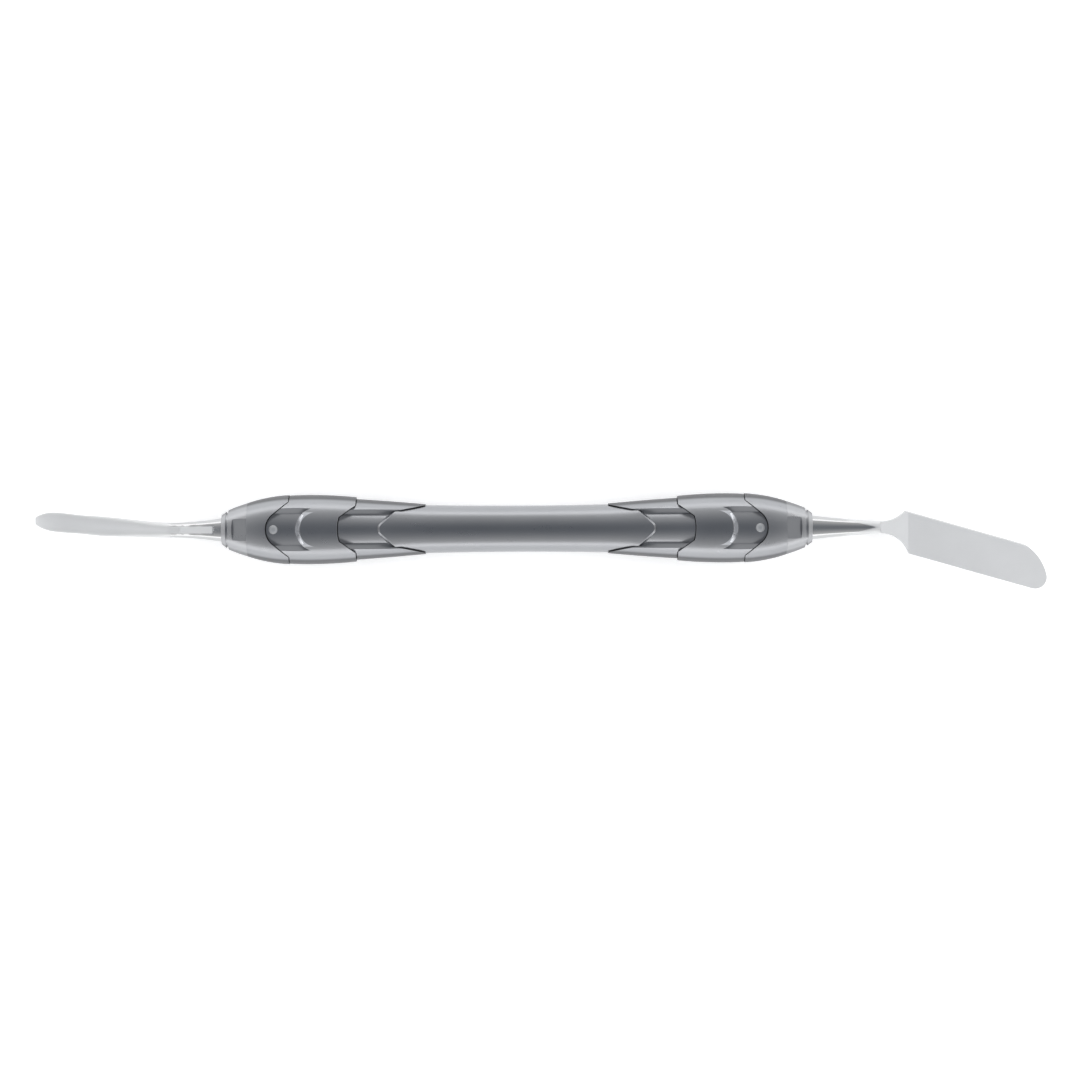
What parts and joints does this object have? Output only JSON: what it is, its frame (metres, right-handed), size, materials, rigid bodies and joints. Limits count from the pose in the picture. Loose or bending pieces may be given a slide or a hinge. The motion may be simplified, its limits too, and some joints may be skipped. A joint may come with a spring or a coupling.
{
  "type": "clay modelling tool",
  "caption": "Double-ended clay modelling tool: a waisted shell grip with finger pads, a leaf spatula at one end and a wide slanted knife blade at the other.",
  "frame": {"origin": "on the grip's axis, halfway along its waist", "axes": "+X along the grip towards the knife blade, +Y across the blade faces' plane, +Z square to the faces of both tools, towards the front"},
  "size_m": [0.1752, 0.0168, 0.0119],
  "materials": {
    "grip_resin": "satin moulded, fine grain",
    "collar_resin": "satin, a little lighter than the grip",
    "tool_steel": "polished shanks, satin blades",
    "core_steel": "drawn tube",
    "pin_steel": "ground, domed ends",
    "seal_rubber": "black nitrile"
  },
  "bodies": {
    "root": {"core_tube": "core_steel", "waist_barrel": "grip_resin", "knife_tip": "tool_steel", "spatula_tip": "tool_steel", "left_inner_shell": "grip_resin", "left_outer_shell": "grip_resin", "left_nose_shell": "grip_resin", "left_end_collar": "collar_resin", "left_shank_seal": "seal_rubber", "left_locking_pin": "pin_steel", "right_inner_shell": "grip_resin", "right_outer_shell": "grip_resin", "right_nose_shell": "grip_resin", "right_end_collar": "collar_resin", "right_shank_seal": "seal_rubber", "right_locking_pin": "pin_steel"}
  },
  "joints": []
}
